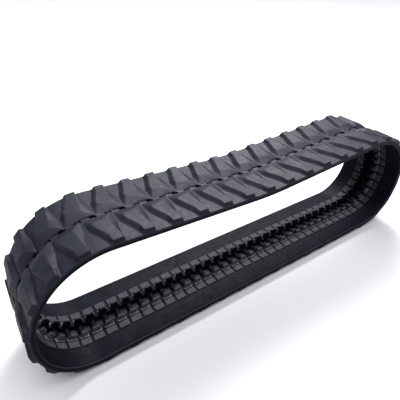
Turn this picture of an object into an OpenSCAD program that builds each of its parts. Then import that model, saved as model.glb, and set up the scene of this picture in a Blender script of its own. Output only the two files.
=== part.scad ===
// Endless rubber track of a compact excavator, standing on its lower run.
// X runs along the track, Y across it, Z up. The origin is on the ground under the middle of the loop.
// Front is +X, rear is -X, left is +Y and right is -Y.
// Every place on the track is given by s, the distance along the cord line from the middle of the lower
// run, by y across the belt, and by n, the height outward from the cord line (negative on the wheel side).

/* [Belt] */
// Width of the belt
belt_w = 350; // [330:5:370]
// Distance between two drive bars
pitch = 54.5; // [54:0.5:55]
// Number of links in the loop
links = 84; // [82:2:86]
// Cord line to the wheel-side face
inner_depth = 13; // [12.5:0.5:14]
// Cord line to the floor between the lugs
outer_depth = 9.5; // [9:0.5:11]

/* [Loop] */
// Radius at the cord line where the belt leaves the ground
lower_r = 200; // [195:5:210]
// Angle of that bend
lower_bend = 72; // [68:1:76]
// Radius at the cord line of the rest of each end
upper_r = 300; // [290:5:310]
// Slope of the sagging upper run
sag_angle = 3.2; // [2.5:0.1:4]
// Radius at the lowest point of the upper run
sag_r = 1500; // [1200:50:1800]

/* [Lugs] */
// Height of the tread lugs above the floor between them
lug_h = 15.5; // [12:0.5:20]
// Height of the guide lugs above the wheel-side face
guide_h = 26; // [22:1:28]
// Height of the roller pads above the wheel-side face
pad_h = 4.5; // [3:0.5:5]

/* [Reinforcement] */
// Thickness of one steel cord
cord_d = 3.2; // [2.6:0.2:3.6]
// Cords on each side of the windows
cord_count = 6; // [4:1:8]
// Overall length of a steel core across the belt
core_w = 240; // [220:5:260]
// Thickness of the bias ply
ply_t = 1.2; // [0.8:0.2:1.4]

/* [Hidden] */
$fn = 64;
half_w = belt_w / 2;

// The loop, from the middle of the lower run over the front end to the middle of the upper run.
// A stretch is [start, length, radius]. A start is [s, x, z, heading]. Radius 0 is straight.
half_loop = links * pitch / 2;
turn = 180 + sag_angle;
lower_arc = lower_r * lower_bend * PI / 180;
upper_arc = upper_r * (turn - lower_bend) * PI / 180;
sag_arc = sag_r * sag_angle * PI / 180;
bends_x = lower_r * sin(lower_bend) + upper_r * (sin(turn) - sin(lower_bend)) - sag_r * sin(sag_angle);
straight_sum = half_loop - lower_arc - upper_arc - sag_arc;
ground_run = (straight_sum - bends_x / cos(sag_angle)) / (1 + 1 / cos(sag_angle));
upper_run = straight_sum - ground_run;

function moved(p, len, r) =
    r == 0
    ? [p[0] + len, p[1] + len * cos(p[3]), p[2] + len * sin(p[3]), p[3]]
    : let (h = p[3] + len / r * 180 / PI)
      [p[0] + len, p[1] + r * (sin(h) - sin(p[3])), p[2] - r * (cos(h) - cos(p[3])), h];

START = [0, 0, outer_depth + lug_h, 0];
LOWER = moved(START, ground_run, 0);
UPPER = moved(LOWER, lower_arc, lower_r);
RUN = moved(UPPER, upper_arc, upper_r);
SAG = moved(RUN, upper_run, 0);
STRETCHES = [
    [START, ground_run, 0],
    [LOWER, lower_arc, lower_r],
    [UPPER, upper_arc, upper_r],
    [RUN, upper_run, 0],
    [SAG, 2 * sag_arc, -sag_r],
];

function stretch_of(s, i = 0) =
    i == len(STRETCHES) - 1 || s <= STRETCHES[i + 1][0][0] ? STRETCHES[i] : stretch_of(s, i + 1);
function loop_at(s) = let (t = stretch_of(s)) moved(t[0], s - t[0][0], t[2]);
function on_loop(s, y, n) = let (p = loop_at(s)) [p[1] + n * sin(p[3]), y, p[2] - n * cos(p[3])];

// Bodies of the flexing loop: [name, side, first s, last s]. Side 0 is both halves, -1 the rear half.
LOWER_HINGE = 15.5 * pitch;
NOSE_HINGE = 19.5 * pitch;
SHOULDER_HINGE = 22.5 * pitch;
TOP_HINGE = 26.5 * pitch;
BODIES = [
    ["ground_run", 0, 0, LOWER_HINGE],
    ["front_lower_bend", 1, LOWER_HINGE, NOSE_HINGE],
    ["front_nose", 1, NOSE_HINGE, SHOULDER_HINGE],
    ["front_upper_bend", 1, SHOULDER_HINGE, TOP_HINGE],
    ["front_top_run", 1, TOP_HINGE, half_loop + pitch / 2],
    ["rear_lower_bend", -1, LOWER_HINGE, NOSE_HINGE],
    ["rear_nose", -1, NOSE_HINGE, SHOULDER_HINGE],
    ["rear_upper_bend", -1, SHOULDER_HINGE, TOP_HINGE],
    ["rear_top_run", -1, TOP_HINGE, half_loop - pitch / 2],
];
KINDS = ["wheel_rubber_left", "wheel_rubber_right", "tread_rubber", "steel_cores", "steel_cords", "bias_ply"];

// Relief at each end of a body, so that neighbours clear each other as the joint between them bends
flex_relief = 7.7;
flex_gap = 0.2;
seam_gap = 0.6;
cut_reach = 80;
cut_length = 130;

// How a body follows the bends: the angle of one flat of its outline, and how far the outline is drawn
// past a cut end
facet_angle = 7.2;
overrun = 3;

// Layers of the belt, as heights from the cord line, and the clearance that keeps the ply and the tread apart
cord_cover = 2.6;
ply_gap = 0.02;
ply_margin = 10;
ply_inner_y = 30;
lug_root = 3;
edge_step = 3;

// Windows between the drive bars, and the recesses in the tread behind them
window_half_w = 23;
bar_half_len = 11;
bar_top = 12.5;
bar_foot = 1.6;
bar_curve_r = 13;
recess_len = 26;
recess_w = 12;
recess_floor = 3.6;

// Guide lug and roller pad of one link
guide_y = [24, 51];
guide_top_y = [29, 45];
guide_base_half = 20;
guide_top_half = 14;
pad_y = [55, 88];
pad_half_len = 23;

// Steel core of one link
wing_half_len = 15;
wing_n = [-9, -2.7];
wing_inner_y = 23;
horn_y = [31, 43];
horn_half_len = 9;
horn_top = 17;

first_cord_y = 54;
cord_step = 11;

// Tread lug of one link: feet at the floor and crown, as [pitches along, half widths across]
LUG_FOOT = [
    [-1.21, 0.07], [-0.30, 0.05], [0.60, 0.03], [0.60, 0.37], [0.39, 0.73],
    [0.37, 0.99], [-0.51, 0.99], [-0.64, 0.81], [-1.17, 0.40],
];
LUG_CROWN = [
    [-0.86, 0.29], [-0.40, 0.26], [0.05, 0.23], [0.13, 0.41], [0.30, 0.81],
    [0.31, 0.96], [-0.37, 0.96], [-0.40, 0.77], [-0.91, 0.36],
];
LUG_MIDDLE = [-0.15, 0.52];
LUG_TAIL = 1.21;
LUG_NOSE = 0.60;

// Puts its children at s, with x outward, y across and z along the track
module place(s) {
    p = loop_at(s);
    translate([p[1], 0, p[2]]) rotate([0, 90 - p[3], 0]) children();
}

// Distances along the loop at which the outline of a body has a point, past its cut ends by the overrun
function stations(b) = [
    max(0, b[2] - overrun),
    for (t = STRETCHES)
        let (count = t[2] == 0 ? 1 : ceil(t[1] / abs(t[2]) * 180 / PI / facet_angle))
        for (i = [0 : count - 1])
            let (s = t[0][0] + i * t[1] / count)
            if (s > b[2] + 1 && s < b[3] - 1) s,
    b[3] + overrun,
];

module extrude_across(y0, y1) {
    translate([0, y1, 0]) rotate([90, 0, 0]) linear_extrude(y1 - y0) children();
}

// A layer of the belt along a body, between two heights from the cord line and two places across
module band(b, n, y) {
    cuts = stations(b);
    outline = concat(
        [for (s = cuts) on_loop(s, 0, n[0])],
        [for (i = [len(cuts) - 1 : -1 : 0]) on_loop(cuts[i], 0, n[1])]
    );
    extrude_across(y[0], y[1]) polygon([for (p = outline) [p[0], p[2]]]);
}

// Takes away what lies beyond one end of a body; way is 1 at its last s and -1 at its first
module end_cut(s, way, gap) {
    lean = cut_reach * tan(flex_relief);
    place(s) mirror([0, 0, way < 0 ? 1 : 0]) rotate([90, 0, 0])
        linear_extrude(belt_w + 20, center = true)
            polygon([
                [-cut_reach, -lean - gap], [0, -gap], [cut_reach, -lean - gap],
                [cut_reach, cut_length], [-cut_reach, cut_length],
            ]);
}

// Trims its children to the stretch of a body
module trimmed(b) {
    last_gap = b[3] > half_loop - pitch ? seam_gap : flex_gap;
    difference() {
        children();
        if (b[2] > 0) end_cut(b[2], -1, flex_gap);
        end_cut(b[3], 1, last_gap);
    }
}

// Draws its children for a body's own half, or for both halves of the loop; $way is the sense of the
// lug pattern along s there, -1 on the front half and 1 on the rear half
module halves(b) {
    if (b[1] >= 0) let ($way = -1) children();
    if (b[1] <= 0) mirror([1, 0, 0]) let ($way = 1) children();
}

// Links whose cores lie in this half of a body; the link in the middle belongs to the front half
function links_of(b) =
    [for (k = [(b[2] == 0 ? ($way > 0 ? 1 : 0) : ceil(b[2] / pitch)) : floor(b[3] / pitch)]) k];

// Links whose cores pass through this half of a body
function cores_of(b) = [for (k = [ceil(b[2] / pitch) : floor(b[3] / pitch)]) k];

// ---- steel core: wings in the belt, a bare drive bar between the windows, a stub up into each guide lug
module core_wing() {
    translate([wing_n[0], 0, 0]) rotate([0, 90, 0])
        linear_extrude(wing_n[1] - wing_n[0]) {
            translate([-wing_half_len, wing_inner_y])
                square([2 * wing_half_len, core_w / 2 - wing_half_len - wing_inner_y]);
            translate([0, core_w / 2 - wing_half_len]) circle(wing_half_len);
        }
}

module core_horn() {
    translate([-horn_top, horn_y[0], -horn_half_len])
        cube([horn_top + wing_n[0] + 1, horn_y[1] - horn_y[0], 2 * horn_half_len]);
}

module core_bar() {
    extrude_across(-window_half_w - 1, window_half_w + 1)
        intersection() {
            translate([-bar_top, -bar_half_len]) square([bar_top - bar_foot, 2 * bar_half_len]);
            translate([bar_curve_r - bar_top, 0]) circle(bar_curve_r);
        }
}

module core() {
    core_bar();
    for (side = [0, 1]) mirror([0, side, 0]) {
        core_wing();
        core_horn();
    }
}

// ---- wheel-side rubber: one strip on each side of the windows, with its guide lugs and roller pads
module guide_lug() {
    top = -inner_depth - guide_h;
    foot = 1 - inner_depth;
    intersection() {
        extrude_across(guide_y[0], guide_y[1])
            polygon([
                [foot, -guide_base_half], [foot, guide_base_half],
                [top, guide_top_half], [top, -guide_top_half],
            ]);
        translate([0, 0, -guide_base_half]) linear_extrude(2 * guide_base_half)
            polygon([
                [foot, guide_y[0]], [foot, guide_y[1]],
                [top, guide_top_y[1]], [top, guide_top_y[0]],
            ]);
    }
}

module roller_pad() {
    translate([-inner_depth - pad_h, pad_y[0], -pad_half_len])
        cube([pad_h + 1, pad_y[1] - pad_y[0], 2 * pad_half_len]);
}

module cords_of(b) {
    for (i = [0 : cord_count - 1])
        let (y = first_cord_y + i * cord_step)
            band(b, [-cord_d / 2, cord_d / 2], [y - cord_d / 2, y + cord_d / 2]);
}

// Wheel-side rubber on the left of the windows; side -1 mirrors it to the right
module wheel_rubber(b, side) {
    color([0.12, 0.12, 0.14])
        mirror([0, side < 0 ? 1 : 0, 0])
            halves(b)
                trimmed(b)
                    difference() {
                        union() {
                            band(b, [-inner_depth, cord_cover], [window_half_w, half_w - edge_step]);
                            band(b, [edge_step - inner_depth, cord_cover], [half_w - edge_step, half_w]);
                            for (k = links_of(b))
                                place(k * pitch) {
                                    guide_lug();
                                    roller_pad();
                                }
                        }
                        for (k = cores_of(b)) place(k * pitch) core();
                        cords_of(b);
                    }
}

// ---- tread rubber: the outer layer, a foot under each drive bar, recesses, and two rows of lugs
module bar_foot_block() {
    translate([-bar_foot, -window_half_w, -bar_half_len])
        cube([bar_foot + cord_cover + 1, 2 * window_half_w, 2 * bar_half_len]);
}

module recess() {
    translate([recess_floor, -recess_w / 2, (pitch - recess_len) / 2])
        cube([outer_depth - recess_floor + 1, recess_w, recess_len]);
}

// A lug follows the curve of the belt. way is the sense of the lug pattern along s, row is 1 on the left.
module tread_lug(k, way, row) {
    function ring(outline, n) = [for (p = outline) on_loop((k + way * p[0]) * pitch, row * half_w * p[1], n)];
    count = len(LUG_FOOT);
    points = concat(
        ring(LUG_FOOT, outer_depth - lug_root),
        ring(LUG_CROWN, outer_depth + lug_h),
        ring([LUG_MIDDLE], outer_depth - lug_root),
        ring([LUG_MIDDLE], outer_depth + lug_h)
    );
    faces = [
        for (i = [0 : count - 1])
            let (j = (i + 1) % count)
            each [[j, i, 2 * count], [i, j, count + j], [i, count + j, count + i],
                  [count + i, count + j, 2 * count + 1]]
    ];
    turned = way * row > 0 ? faces : [for (f = faces) [f[2], f[1], f[0]]];
    polyhedron(points, turned);
}

// Lugs that reach into this half of a body
function lugs_of(b) =
    let (back = $way > 0 ? LUG_TAIL : LUG_NOSE, ahead = LUG_TAIL + LUG_NOSE - back)
    [for (k = [links_of(b)[0] - 2 : floor(b[3] / pitch) + 2])
        if (k >= links_of(b)[0] - (b[2] == 0 ? 0 : 2)
            && (k - back) * pitch < b[3] - 1 && (k + ahead) * pitch > b[2] + 1) k];

module tread_rubber(b) {
    color([0.19, 0.19, 0.22])
        halves(b)
            trimmed(b)
                difference() {
                    union() {
                        band(b, [cord_cover + ply_t, outer_depth], [-half_w, half_w]);
                        band(b, [cord_cover, cord_cover + ply_t], [-ply_inner_y, ply_inner_y]);
                        for (side = [0, 1]) mirror([0, side, 0])
                            band(b, [cord_cover, cord_cover + ply_t], [half_w - ply_margin, half_w]);
                        for (k = links_of(b)) place(k * pitch) bar_foot_block();
                        for (k = lugs_of(b)) tread_lug(k, $way, k % 2 == 0 ? -1 : 1);
                    }
                    for (k = [max(0, links_of(b)[0] - 1) : floor(b[3] / pitch)])
                        place(k * pitch) recess();
                }
}

// ---- reinforcement
module steel_cores(b) {
    color([0.30, 0.30, 0.32])
        halves(b)
            for (k = links_of(b)) place(k * pitch) core();
}

module steel_cords(b) {
    color([0.72, 0.66, 0.45])
        halves(b)
            trimmed(b)
                for (side = [0, 1]) mirror([0, side, 0])
                    cords_of(b);
}

module bias_ply(b) {
    color([0.45, 0.42, 0.38])
        halves(b)
            trimmed(b)
                for (side = [0, 1]) mirror([0, side, 0])
                    band(b, [cord_cover, cord_cover + ply_t - ply_gap], [ply_inner_y, half_w - ply_margin]);
}

for (b = BODIES) {
    wheel_rubber(b, 1);
    wheel_rubber(b, -1);
    tread_rubber(b);
    steel_cores(b);
    steel_cords(b);
    bias_ply(b);
}
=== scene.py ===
import math

import bmesh
import bpy
import numpy as np
from mathutils import Matrix, Vector


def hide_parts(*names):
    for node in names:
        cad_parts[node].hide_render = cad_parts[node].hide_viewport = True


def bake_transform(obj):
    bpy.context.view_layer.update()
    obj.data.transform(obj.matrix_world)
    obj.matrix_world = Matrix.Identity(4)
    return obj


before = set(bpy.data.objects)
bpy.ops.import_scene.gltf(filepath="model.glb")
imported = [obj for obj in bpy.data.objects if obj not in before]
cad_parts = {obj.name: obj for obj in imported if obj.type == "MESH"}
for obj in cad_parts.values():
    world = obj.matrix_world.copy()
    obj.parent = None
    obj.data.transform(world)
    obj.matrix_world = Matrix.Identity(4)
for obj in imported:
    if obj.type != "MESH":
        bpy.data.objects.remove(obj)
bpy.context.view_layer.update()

# The rubber of an endless track, modelled in the belt's own coordinates and then laid round the loop:
# s along the cord line from the middle of the lower run, y across the belt and n outward from the cord
# line. Lengths are in millimetres until on_loop() turns them into metres of the part's frame.
METRE = 0.001

# ---- the belt
PITCH = 54.5
LINKS = 84
HALF_W = 175.0
INNER = -13.0
PARTING = 2.6
OUTER = 9.5
LUG_H = 15.5
EDGE_FLARE = 0.6
# Length that a steep wall takes along or across the belt
WALL = 0.6

# ---- the loop of one half, as (length, radius) of its stretches; radius 0 is straight
LOWER_R, LOWER_BEND = 200.0, math.radians(72)
UPPER_R = 300.0
SAG_R, SAG = 1500.0, math.radians(3.2)
HALF_LOOP = LINKS * PITCH / 2
BENDS = [
    (LOWER_R * LOWER_BEND, LOWER_R),
    (UPPER_R * (math.pi + SAG - LOWER_BEND), UPPER_R),
    (SAG_R * SAG, -SAG_R),
]
BENDS_X = (
    LOWER_R * math.sin(LOWER_BEND)
    - UPPER_R * (math.sin(SAG) + math.sin(LOWER_BEND))
    - SAG_R * math.sin(SAG)
)
STRAIGHT_SUM = HALF_LOOP - sum(length for length, _ in BENDS)
GROUND = (STRAIGHT_SUM - BENDS_X / math.cos(SAG)) / (1 + 1 / math.cos(SAG))


def moved(start, length, radius):
    """The place (s, x, z, heading) that lies length further along a stretch."""
    s, x, z, heading = start
    if radius == 0:
        return s + length, x + length * np.cos(heading), z + length * np.sin(heading), heading + 0 * length
    turned = heading + length / radius
    return (
        s + length,
        x + radius * (np.sin(turned) - np.sin(heading)),
        z - radius * (np.cos(turned) - np.cos(heading)),
        turned,
    )


STRETCHES = []
place = (0.0, 0.0, OUTER + LUG_H, 0.0)
for length, radius in [(GROUND, 0), BENDS[0], BENDS[1], (STRAIGHT_SUM - GROUND, 0), BENDS[2]]:
    STRETCHES.append((place, radius))
    place = moved(place, length, radius)


def loop_at(s):
    """x, z and heading of the cord line at distances s, on the front half."""
    s = np.asarray(s, float)
    out = np.zeros((3,) + s.shape)
    for i, (start, radius) in enumerate(STRETCHES):
        here = s >= start[0] if i else np.ones(s.shape, bool)
        out[:, here] = moved(start, s[here] - start[0], radius)[1:]
    return out


def on_loop(flat, side):
    """Points (s, y, n) of the belt in the part's frame, in metres. side is 1 on the front half and -1 on
    the rear."""
    flat = np.asarray(flat, float).reshape(-1, 3)
    x, z, heading = loop_at(flat[:, 0])
    return METRE * np.column_stack([
        side * (x + flat[:, 2] * np.sin(heading)),
        flat[:, 1],
        z - flat[:, 2] * np.cos(heading),
    ])


# ---- mesh tools
class Flat:
    """A mesh of closed shells in belt coordinates."""

    def __init__(self):
        self.points = []
        self.faces = []

    def add(self, points):
        first = len(self.points)
        self.points.extend(tuple(p) for p in np.asarray(points, float).reshape(-1, 3))
        return first

    def plate(self, one, other):
        """A plate between two grids of points, shape (rows, columns, 3), with walls round its edge."""
        rows, columns = one.shape[:2]
        first, second = self.add(one), self.add(other)
        for base in (first, second):
            for i in range(rows - 1):
                for j in range(columns - 1):
                    a = base + i * columns + j
                    self.faces.append([a, a + columns, a + columns + 1, a + 1])
        down = [i * columns for i in range(rows)]
        along = list(range(columns))
        for edge in (down, [a + columns - 1 for a in down], along, [a + down[-1] for a in along]):
            for a, b in zip(edge, edge[1:]):
                self.faces.append([first + a, first + b, second + b, second + a])

    def stack(self, rings, tip):
        """Rings of points skinned from the first, which is capped, to the last, which meets at the tip."""
        count = len(rings[0])
        starts = [self.add(ring) for ring in rings]
        self.faces.append([starts[0] + i for i in range(count)])
        for low, high in zip(starts, starts[1:]):
            for i in range(count):
                j = (i + 1) % count
                self.faces.append([low + i, low + j, high + j, high + i])
        top = self.add([tip])
        for i in range(count):
            self.faces.append([starts[-1] + i, starts[-1] + (i + 1) % count, top])


def mirrored(half, middle=()):
    """Places on both sides of zero, from those on the positive side."""
    return [-place for place in reversed(half)] + [*middle, *half]


def rows_of(cell, links):
    """Places along the belt of a cell repeated on every link, and how far each lies from its own link."""
    places = [link * PITCH + ds for link in links for ds in cell]
    s = np.array(places + [(links[-1] + 0.5) * PITCH])
    # The nudge counts a boundary between two links with the second of them
    nudge = 1e-9
    return s, s - np.round(s / PITCH + nudge) * PITCH


# A rounded corner takes at most this share of each side
CORNER_SHARE = 0.42


def rounded(outline, radius, steps=3):
    """A closed outline with each corner rounded off by a curve of a few points."""
    outline = np.asarray(outline, float)
    out = []
    for before, corner, after in zip(np.roll(outline, 1, 0), outline, np.roll(outline, -1, 0)):
        into, away = before - corner, after - corner
        a = corner + into * min(radius / np.linalg.norm(into), CORNER_SHARE)
        b = corner + away * min(radius / np.linalg.norm(away), CORNER_SHARE)
        for t in np.linspace(0, 1, steps):
            out.append((1 - t) ** 2 * a + 2 * t * (1 - t) * corner + t * t * b)
    return np.array(out)


def grown(outline, amount):
    """A closed anticlockwise outline moved outward by an amount."""
    along = np.roll(outline, -1, 0) - np.roll(outline, 1, 0)
    outward = np.column_stack([along[:, 1], -along[:, 0]])
    return outline + amount * outward / np.linalg.norm(outward, axis=1)[:, None]


def box_outline(x, y):
    """The four corners of a rectangle, anticlockwise."""
    return [(x[0], y[0]), (x[1], y[0]), (x[1], y[1]), (x[0], y[1])]


# ---- tread layer: floor between the lugs, recesses on the centre line, feet round the drive bars
RECESS_HALF_W = 6.0
RECESS_HALF = 13.0
RECESS_FLOOR = 3.6
RECESS_FROM = PITCH / 2 - RECESS_HALF
WINDOW_HALF_W = 23.0
EDGE_DROP = 1.6
# Wheel-side face of the tread rubber in the windows, as distances from a drive bar and heights: it rises
# round the foot of the bar
FOOT_REACH = [11.0, 12.5, 15.25]
FOOT_HEIGHT = [-2.6, 0.8, PARTING]
# Extra row of points on the floor between the foot and the end of the link
FLOOR_ROW = 21.0
TREAD_HALF_CELL = [*FOOT_REACH[:2], RECESS_FROM, RECESS_FROM + WALL, FOOT_REACH[2], FLOOR_ROW]
TREAD_CELL = [-PITCH / 2] + mirrored(TREAD_HALF_CELL, [0.0])
TREAD_COLUMNS = mirrored([
    RECESS_HALF_W - WALL, RECESS_HALF_W, 14.0, WINDOW_HALF_W + 0.5, WINDOW_HALF_W + 2, 60.0, 100.0, 140.0,
    173.4, HALF_W,
])


def tread_layer(mesh, links):
    s, ds = rows_of(TREAD_CELL, links)
    reach = np.abs(ds)
    y = np.array(TREAD_COLUMNS)
    outer = np.full((len(s), len(y)), OUTER)
    outer[:, [0, -1]] = OUTER - EDGE_DROP
    inner = np.full((len(s), len(y)), PARTING)
    inner[:, np.abs(y) < WINDOW_HALF_W + 1] = np.interp(reach, FOOT_REACH, FOOT_HEIGHT)[:, None]
    flare = np.where(np.abs(y) == HALF_W, EDGE_FLARE * np.sign(y), 0)
    sunk = np.ix_(reach > RECESS_FROM + WALL / 2, np.abs(y) < RECESS_HALF_W - WALL / 2)
    outer[sunk] = RECESS_FLOOR
    grid_s, grid_y = np.meshgrid(s, y, indexing="ij")
    mesh.plate(np.stack([grid_s, grid_y, outer], -1), np.stack([grid_s, grid_y + flare, inner], -1))


# ---- tread lug of one link: feet at the floor and crown, as (pitches along, half widths across)
LUG_FOOT = [
    (-1.21, 0.07), (-0.30, 0.05), (0.60, 0.03), (0.60, 0.37), (0.39, 0.73),
    (0.37, 0.99), (-0.51, 0.99), (-0.64, 0.81), (-1.17, 0.40),
]
LUG_CROWN = [
    (-0.86, 0.29), (-0.40, 0.26), (0.05, 0.23), (0.13, 0.41), (0.30, 0.81),
    (0.31, 0.96), (-0.37, 0.96), (-0.40, 0.77), (-0.91, 0.36),
]
LUG_MIDDLE = (-0.15, 0.52)
# Height up to which the skin stands straight at each corner before it leans in to the crown
LUG_KNEE = [0, 2, 5.5, 4, 0, 0, 0, 0, 0]
LUG_CORNER = 5.0
# Section of a lug's skin, as (height above the floor, growth of its outline)
LUG_SKIN = [
    (-0.8, 3.8), (0.15, 2.6), (0.9, 1.3), (2.2, 0.4), (4.0, 0.0), (5.5, 0.0), (13.4, 0.0),
    (14.7, -0.4), (15.3, -1.1), (LUG_H, -2.1), (LUG_H, -3.4),
]
LUG_SCALE = np.array([PITCH, HALF_W])
# A lug stays this far from the recesses and stands this far past the floor's edge
LUG_CLEAR = 0.2


def tread_lug(mesh, link, way, row):
    """One lug. way is the sense of the lug pattern along s; row is 1 on the left and -1 on the right."""
    foot = rounded(LUG_SCALE * LUG_FOOT, LUG_CORNER)
    crown = rounded(LUG_SCALE * LUG_CROWN, LUG_CORNER)
    knee = np.repeat(LUG_KNEE, len(foot) // len(LUG_KNEE))
    middle = LUG_SCALE * LUG_MIDDLE

    def ring(outline, height):
        across = np.clip(outline[:, 1], RECESS_HALF_W + LUG_CLEAR, HALF_W + LUG_CLEAR)
        return np.column_stack([
            link * PITCH + way * outline[:, 0],
            row * across,
            np.full(len(outline), OUTER + height),
        ])

    rings = []
    for height, growth in LUG_SKIN:
        share = np.clip((height - knee) / (LUG_H - knee), 0, 1)
        rings.append(ring(grown(foot + (crown - foot) * share[:, None], growth), height))
    inset = grown(crown, LUG_SKIN[-1][1])
    rings.append(ring(middle + 0.5 * (inset - middle), LUG_H))
    mesh.stack(rings, ring(middle[None], LUG_H)[0])


# ---- wheel-side strip: flat face with roller pads
PAD_Y = (55.0, 88.0)
PAD_HALF = 23.0
PAD_H = 4.5
PAD_EDGE = 2.2
# Distance by which a pad's foot stands out across the strip
PAD_SIDE = 0.8
# Extra rows of points along a pad
PAD_ROW = 10.0
WHEEL_CELL = [-PITCH / 2] + mirrored([PAD_ROW, PAD_HALF - PAD_EDGE, PAD_HALF + WALL], [0.0])
# Columns of the strip as (y, height of the face above INNER)
WHEEL_COLUMNS = [
    (WINDOW_HALF_W, -2.2), (WINDOW_HALF_W + 0.9, -0.5), (WINDOW_HALF_W + 2.4, 0.0),
    (PAD_Y[0] - PAD_SIDE, 0.0), (PAD_Y[0] + PAD_EDGE, 0.0), (PAD_Y[1] - PAD_EDGE, 0.0),
    (PAD_Y[1] + PAD_SIDE, 0.0), (115.0, 0.0), (145.0, 0.0), (170.4, 0.0), (172.6, -0.5),
    (174.2, -1.7), (HALF_W, -3.6),
]


def wheel_strip(mesh, links, row):
    s, ds = rows_of(WHEEL_CELL, links)
    y, lift = np.array(WHEEL_COLUMNS).T
    along = np.interp(np.abs(ds), [PAD_HALF - PAD_EDGE, PAD_HALF + WALL], [1, 0])
    across = ((y > PAD_Y[0]) & (y < PAD_Y[1])).astype(float)
    face = INNER - lift[None, :] - PAD_H * along[:, None] * across[None, :]
    grid_s, grid_y = np.meshgrid(s, y, indexing="ij")
    flare = np.where(y == HALF_W, EDGE_FLARE, 0)
    mesh.plate(
        np.stack([grid_s, row * grid_y, face], -1),
        np.stack([grid_s, row * (grid_y + flare), np.full(grid_s.shape, PARTING)], -1),
    )


# ---- guide lug of one link: outlines as ((s range), (y range))
GUIDE_FOOT = ((-20.0, 20.0), (24.5, 51.0))
GUIDE_WAIST = ((-18.5, 18.5), (25.5, 47.0))
GUIDE_TOP = ((-13.5, 13.5), (29.5, 44.5))
GUIDE_H = 26.0
GUIDE_CROWN = 0.2
GUIDE_LEDGE = 5.0
GUIDE_CORNER = 4.5
# Section of its skin, as (height, growth of its outline), up to the ledge and above it
GUIDE_LOWER_SKIN = [(-0.6, 2.4), (0.3, 1.2), (1.4, 0.3), (3.4, 0.0), (4.5, -0.4), (GUIDE_LEDGE, -1.3)]
GUIDE_UPPER_SKIN = [
    (5.2, 1.0), (6.4, 0.2), (8.5, 0.0), (22.5, 0.0), (24.8, -0.7), (25.7, -1.9), (GUIDE_H, -3.6),
]


def guide_lug(mesh, link, row):
    foot, waist, top = [
        rounded(box_outline(*outline), GUIDE_CORNER) for outline in (GUIDE_FOOT, GUIDE_WAIST, GUIDE_TOP)
    ]

    def ring(outline, height):
        return np.column_stack([
            link * PITCH + outline[:, 0], row * outline[:, 1], np.full(len(outline), INNER - height),
        ])

    rings = [ring(grown(foot, growth), height) for height, growth in GUIDE_LOWER_SKIN]
    for height, growth in GUIDE_UPPER_SKIN:
        share = (height - GUIDE_LEDGE) / (GUIDE_H - GUIDE_LEDGE)
        rings.append(ring(grown(waist + (top - waist) * share, growth), height))
    centre = np.array([[0.0, sum(GUIDE_TOP[1]) / 2]])
    mesh.stack(rings, ring(centre, GUIDE_H + GUIDE_CROWN)[0])


# ---- wear and painted light on the wheel side, as a share of the way to the worn colour: wear where rollers run on the pads, wear and painted light on the guide lugs' outer faces, and painted highlights on the ledge and along the strip's edge
RUBBED_PAD = 0.20
GUIDE_WEAR_AND_LIGHT = 0.30
# The ledge and the edge get painted highlights; the guide lugs' outer faces get wear and painted light
LEDGE_HIGHLIGHT = 1.0
EDGE_HIGHLIGHT = 0.15
# Bands: of painted highlight across the strip's edge and up and down the ledge, and where the guide lugs'
# outer faces grow lighter with wear and painted light
EDGE_BAND = (172.0, HALF_W - 0.5)
LEDGE_BAND = (3.0, 6.0)
GUIDE_BAND = (GUIDE_TOP[1][0] + 4, GUIDE_TOP[1][0] + 14)


def within(value, band):
    return (value > band[0]) & (value < band[1])


def wear_and_highlight_share(flat):
    """Share of the way to the worn colour at points (s, y, n): wear on the pads, wear and painted light on
    the guide lugs' outer faces, and painted highlights on the ledge and the strip's edge.
    """
    y, height = np.abs(flat[:, 1]), INNER - flat[:, 2]
    pad = within(y, PAD_Y) & (height > 0.9 * PAD_H)
    edge = within(y, EDGE_BAND) & (height > -2)
    guide = (y < GUIDE_FOOT[1][1] + 1) & (height > 1)
    outward = np.interp(y, GUIDE_BAND, [0, 1])
    ledge = guide & within(height, LEDGE_BAND)
    share = RUBBED_PAD * pad + EDGE_HIGHLIGHT * edge + GUIDE_WEAR_AND_LIGHT * guide * outward
    return share + (LEDGE_HIGHLIGHT - GUIDE_WEAR_AND_LIGHT) * ledge * outward


# ---- material tools
def new_material(name):
    material = bpy.data.materials.new(name)
    material.use_nodes = True
    tree = material.node_tree
    return material, tree, tree.nodes["Principled BSDF"]


def set_inputs(tree, target, **inputs):
    """Link a node's inputs to sockets, or set them to values. A space in an input's name is written as _."""
    for key, value in inputs.items():
        socket = target.inputs[key.replace("_", " ")]
        if isinstance(value, bpy.types.NodeSocket):
            tree.links.new(value, socket)
        else:
            socket.default_value = value


def node(tree, kind, settings=(), **inputs):
    made = tree.nodes.new(kind)
    for key, value in dict(settings).items():
        setattr(made, key, value)
    set_inputs(tree, made, **inputs)
    return made


def attribute(tree, name, output):
    return node(tree, "ShaderNodeAttribute", {"attribute_name": name}).outputs[output]


def in_object(tree, turned=(0, 0, 0)):
    """Place in the part's frame, turned about the three axes by angles in radians."""
    where = node(tree, "ShaderNodeTexCoord").outputs["Object"]
    return node(tree, "ShaderNodeMapping", Vector=where, Rotation=turned).outputs["Vector"]


def noise(tree, where, scale, detail, roughness=0.55):
    made = node(tree, "ShaderNodeTexNoise", Vector=where, Scale=scale, Detail=detail, Roughness=roughness)
    return made.outputs["Fac"]


def ramp(tree, value, stops):
    """Colours or greys between positions, as (position, colour or grey)."""
    made = node(tree, "ShaderNodeValToRGB", Fac=value)
    elements = made.color_ramp.elements
    while len(elements) < len(stops):
        elements.new(0.5)
    for element, (position, colour) in zip(elements, stops):
        element.position = position
        element.color = (*colour, 1) if isinstance(colour, tuple) else (colour, colour, colour, 1)
    return made.outputs["Color"]


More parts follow.
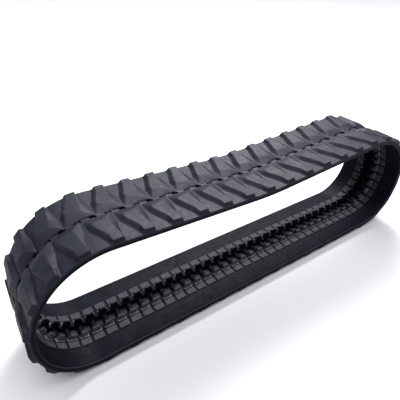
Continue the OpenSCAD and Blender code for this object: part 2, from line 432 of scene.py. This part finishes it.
def mix(tree, blend_type, share, one, other):
    """Two colours mixed. The colour sockets of a mix node share one name, so they go by number."""
    made = node(tree, "ShaderNodeMix", {"data_type": "RGBA", "blend_type": blend_type})
    if isinstance(share, bpy.types.NodeSocket):
        tree.links.new(share, made.inputs[0])
    else:
        made.inputs[0].default_value = share
    tree.links.new(one, made.inputs[6])
    tree.links.new(other, made.inputs[7])
    return made.outputs[2]


def bump(tree, height, strength, distance, **base):
    """Normal of a rough surface. base may be Normal=, that of the surface which the roughness lies on."""
    made = node(tree, "ShaderNodeBump", Height=height, Strength=strength, Distance=distance, **base)
    return made.outputs["Normal"]


# ---- materials
# Painted shade: share of its colour that rubber keeps by its ambient occlusion, from a crevice to a free
# face
PAINTED_SHADE_KEPT = [(0.40, 0.05), (0.96, 1.0)]
PAINTED_SHADE_REACH = 0.036
WEAR_AND_LIGHT_THIN = 0.6


def rubber(name, dark, light, wear_and_light_colour, rough, shine):
    """Moulded carbon-black rubber with a faint bloom, a fine grain and slow waves from the mould.

    Its colour is darkened in crevices as painted shade, and turns towards a lighter colour where the mesh's
    share says: wear on the pads, and wear, painted light and painted highlights round the guide lugs and
    along the strip's edge."""
    material, tree, shader = new_material(name)
    where = attribute(tree, "belt", "Vector")
    bloom = noise(tree, where, scale=14, detail=6, roughness=0.62)
    grain = noise(tree, where, scale=850, detail=3)
    waves = noise(tree, where, scale=60, detail=4)
    # Painted shade: the colour is multiplied down where ambient occlusion finds a crevice
    occlusion = node(tree, "ShaderNodeAmbientOcclusion", {"samples": 6}, Distance=PAINTED_SHADE_REACH)
    unshaded_share = ramp(tree, occlusion.outputs["AO"], PAINTED_SHADE_KEPT)
    colour_with_painted_shade = mix(tree, "MULTIPLY", 1.0, ramp(tree, bloom, [(0.34, dark), (0.68, light)]), unshaded_share)
    scuffed_and_lit = ramp(tree, waves, [(0.35, tuple(WEAR_AND_LIGHT_THIN * c for c in wear_and_light_colour)), (0.65, wear_and_light_colour)])
    normal = bump(tree, waves, strength=0.35, distance=0.0012)
    set_inputs(
        tree, shader,
        Base_Color=mix(tree, "MIX", attribute(tree, "wear_and_highlight", "Fac"), colour_with_painted_shade, scuffed_and_lit),
        Roughness=ramp(tree, waves, [(0.3, rough[0]), (0.7, rough[1])]),
        Normal=bump(tree, grain, strength=0.30, distance=0.00035, Normal=normal),
        Specular_IOR_Level=shine,
    )
    return material


def steel(name):
    """Dark forged steel, dull with scale and finely pitted."""
    material, tree, shader = new_material(name)
    where = in_object(tree)
    scale = noise(tree, where, scale=120, detail=8, roughness=0.65)
    pits = noise(tree, where, scale=700, detail=4)
    set_inputs(
        tree, shader,
        Base_Color=ramp(tree, scale, [(0.35, (0.001, 0.001, 0.002)), (0.62, (0.004, 0.004, 0.005))]),
        Roughness=ramp(tree, scale, [(0.3, 0.75), (0.7, 0.55)]),
        Normal=bump(tree, pits, strength=0.35, distance=0.0004),
        Metallic=0.2,
        Specular_IOR_Level=0.03,
    )
    return material


def brass_cord(name):
    """Brass-coated wire: fine strands laid at a slant."""
    material, tree, shader = new_material(name)
    slant = in_object(tree, turned=(0.3, 0.5, 0.4))
    strands = node(tree, "ShaderNodeTexWave", Vector=slant, Scale=420, Distortion=1.5).outputs["Fac"]
    set_inputs(
        tree, shader,
        Base_Color=ramp(tree, strands, [(0.2, (0.30, 0.22, 0.09)), (0.8, (0.62, 0.50, 0.26))]),
        Normal=bump(tree, strands, strength=0.5, distance=0.0004),
        Metallic=0.9,
        Roughness=0.38,
    )
    return material


def ply_fabric(name):
    """Rubberised cord fabric: two sets of threads crossing."""
    material, tree, shader = new_material(name)
    weave = node(tree, "ShaderNodeMath", {"operation": "MAXIMUM"})
    for angle, socket in zip((0.8, -0.8), weave.inputs):
        bias = in_object(tree, turned=(0, 0, angle))
        tree.links.new(node(tree, "ShaderNodeTexWave", Vector=bias, Scale=220).outputs["Fac"], socket)
    threads = weave.outputs["Value"]
    set_inputs(
        tree, shader,
        Base_Color=ramp(tree, threads, [(0.3, (0.05, 0.045, 0.04)), (0.9, (0.16, 0.15, 0.135))]),
        Normal=bump(tree, threads, strength=0.6, distance=0.0005),
        Roughness=0.85,
    )
    return material


TREAD_RUBBER = rubber(
    "tread_rubber",
    dark=(0.0048, 0.0054, 0.0092),
    light=(0.0110, 0.0122, 0.0200),
    wear_and_light_colour=(0.030, 0.032, 0.040),
    rough=(0.50, 0.64),
    shine=0.12,
)
# Painted shade: the wheel side is the same rubber as the tread, given a darker colour to stand for the shade
# inside the loop
WHEEL_RUBBER_SHADED = rubber(
    "wheel_side_rubber",
    dark=(0.0018, 0.0023, 0.0042),
    light=(0.0042, 0.0052, 0.0090),
    # The worn colour is far lighter than the rubber: it carries the wear and the painted highlights
    wear_and_light_colour=(0.180, 0.184, 0.210),
    rough=(0.50, 0.66),
    shine=0.04,
)
CAD_MATERIALS = {
    "steel_cores": steel("steel_core"),
    "steel_cords": brass_cord("cord_steel"),
    "bias_ply": ply_fabric("ply_fabric"),
}
for name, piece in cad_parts.items():
    for kind, material in CAD_MATERIALS.items():
        if name.endswith(kind):
            piece.data.materials.clear()
            piece.data.materials.append(material)


# ---- pieces: the rubber of one half of the loop, in stretches that each span one joint
SHARP = math.radians(38)


def make_piece(name, mesh, side, material):
    """A piece laid round the loop, whose mesh knows each point's place in the belt and its share of wear,
    painted light and painted highlights.
    """
    flat = np.array(mesh.points)
    data = bpy.data.meshes.new(name)
    data.from_pydata(on_loop(flat, side).tolist(), [], mesh.faces)
    shell = bmesh.new()
    shell.from_mesh(data)
    bmesh.ops.recalc_face_normals(shell, faces=shell.faces)
    shell.to_mesh(data)
    shell.free()
    data.shade_smooth()
    data.set_sharp_from_angle(angle=SHARP)
    belt = data.attributes.new("belt", "FLOAT_VECTOR", "POINT")
    belt.data.foreach_set("vector", (flat * [side * METRE, METRE, METRE]).ravel())
    data.attributes.new("wear_and_highlight", "FLOAT", "POINT").data.foreach_set("value", wear_and_highlight_share(flat))
    data.materials.append(material)
    piece = bpy.data.objects.new(name, data)
    bpy.context.scene.collection.objects.link(piece)
    return piece


# Each stretch of a half: the two bodies whose rubber it hides, the joint's place in pitches, and its first
# and last link
BEND_REACH = 1.0
STRETCH_PLAN = [
    ("ground_run", "lower_bend", 15.5, 1, 17),
    ("lower_bend", "nose", 19.5, 18, 20),
    ("nose", "upper_bend", 22.5, 21, 24),
    ("upper_bend", "top_run", 26.5, 25, LINKS // 2 - 1),
]


def links_of(side, first, last):
    """Links from first to last. The front half also has the link in the middle of each run."""
    if side == 1 and first == 1:
        first = 0
    if side == 1 and last == LINKS // 2 - 1:
        last = LINKS // 2
    return range(first, last + 1)


def body_name(end, body):
    return body if body == "ground_run" else f"{end}_{body}"


def rubber_of(links, side):
    """Meshes of the tread rubber and of the left and right wheel-side rubber on some links."""
    tread, left, right = Flat(), Flat(), Flat()
    tread_layer(tread, links)
    for row, strip in ((1, left), (-1, right)):
        wheel_strip(strip, links, row)
    for link in links:
        # The pattern runs one way round the whole loop, so it is against s on the front half
        tread_lug(tread, link, -side, 1 if link % 2 else -1)
        guide_lug(left, link, 1)
        guide_lug(right, link, -1)
    return tread, left, right


for end, side in (("front", 1), ("rear", -1)):
    for first_body, second_body, joint_at, first_link, last_link in STRETCH_PLAN:
        tread, left, right = rubber_of(links_of(side, first_link, last_link), side)
        bodies = body_name(end, first_body), body_name(end, second_body)
        ends = on_loop([((joint_at + reach) * PITCH, 0, 0) for reach in (-BEND_REACH, BEND_REACH)], side)
        for kind, mesh, material, slot in (
            ("tread_rubber", tread, TREAD_RUBBER, "tread_rubber"),
            ("wheel_rubber_left", left, WHEEL_RUBBER_SHADED, "wheel_side_rubber"),
            ("wheel_rubber_right", right, WHEEL_RUBBER_SHADED, "wheel_side_rubber"),
        ):
            piece = make_piece(f"{end}_{first_body}_to_{second_body}_{kind}", mesh, side, material)
            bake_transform(piece)
            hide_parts(*(f"{body}_{kind}" for body in bodies))


# ---- floor
FLOOR_HALF = 60.0


def floor_material():
    """Pale, matt and very faintly cloudy."""
    material, tree, shader = new_material("studio_floor")
    cloudy = noise(tree, in_object(tree), scale=0.6, detail=3)
    set_inputs(tree, shader, Base_Color=ramp(tree, cloudy, [(0.3, 0.40), (0.7, 0.42)]), Roughness=0.9)
    return material


floor_data = bpy.data.meshes.new("floor")
corners = box_outline((-FLOOR_HALF, FLOOR_HALF), (-FLOOR_HALF, FLOOR_HALF))
floor_data.from_pydata([(x, y, 0) for x, y in corners], [], [(0, 1, 2, 3)])
floor_data.materials.append(floor_material())
floor = bpy.data.objects.new("floor", floor_data)
bpy.context.scene.collection.objects.link(floor)

# ---- light: the studio is bright overhead and dark towards the horizon, with one soft lamp behind the track
SKY_STRENGTH = 5.4
SKY_COLOURS = [(0.0, (0.008, 0.009, 0.012)), (0.58, (0.032, 0.036, 0.047)), (0.96, (0.97, 0.98, 1.0))]
world = bpy.data.worlds.new("studio")
world.use_nodes = True
sky = world.node_tree
direction = node(sky, "ShaderNodeTexCoord").outputs["Generated"]
height = node(sky, "ShaderNodeSeparateXYZ", Vector=direction).outputs["Z"]
set_inputs(sky, sky.nodes["Background"], Color=ramp(sky, height, SKY_COLOURS), Strength=SKY_STRENGTH)
bpy.context.scene.world = world


def softbox(name, at, towards, size, power):
    data = bpy.data.lights.new(name, "AREA")
    data.shape = "RECTANGLE"
    data.size, data.size_y = size
    data.energy = power
    light = bpy.data.objects.new(name, data)
    light.location = at
    light.rotation_euler = (Vector(towards) - Vector(at)).to_track_quat("-Z", "Y").to_euler()
    bpy.context.scene.collection.objects.link(light)


softbox("key", at=(3.0, 4.0, 5.8), towards=(0, 0, 0.4), size=(2.8, 2.8), power=1300)

# ---- camera
CAMERA_AT = (-0.928, -1.046, 1.351)
CAMERA_RIGHT = (0.8378, -0.5459, 0.0097)
CAMERA_UP = (0.3071, 0.4858, 0.8183)
CAMERA_LENS = 33.24
CAMERA_SENSOR = 36.0
CAMERA_CLIP_END = 200
camera_data = bpy.data.cameras.new("camera")
camera_data.lens = CAMERA_LENS
camera_data.sensor_width = CAMERA_SENSOR
camera_data.clip_end = CAMERA_CLIP_END
camera = bpy.data.objects.new("camera", camera_data)
right = Vector(CAMERA_RIGHT).normalized()
up = Vector(CAMERA_UP)
up = (up - right * up.dot(right)).normalized()
turn = Matrix((right, up, right.cross(up))).transposed().to_4x4()
camera.matrix_world = Matrix.Translation(CAMERA_AT) @ turn
bpy.context.scene.collection.objects.link(camera)
bpy.context.scene.camera = camera
bpy.context.scene.view_settings.view_transform = "Standard"
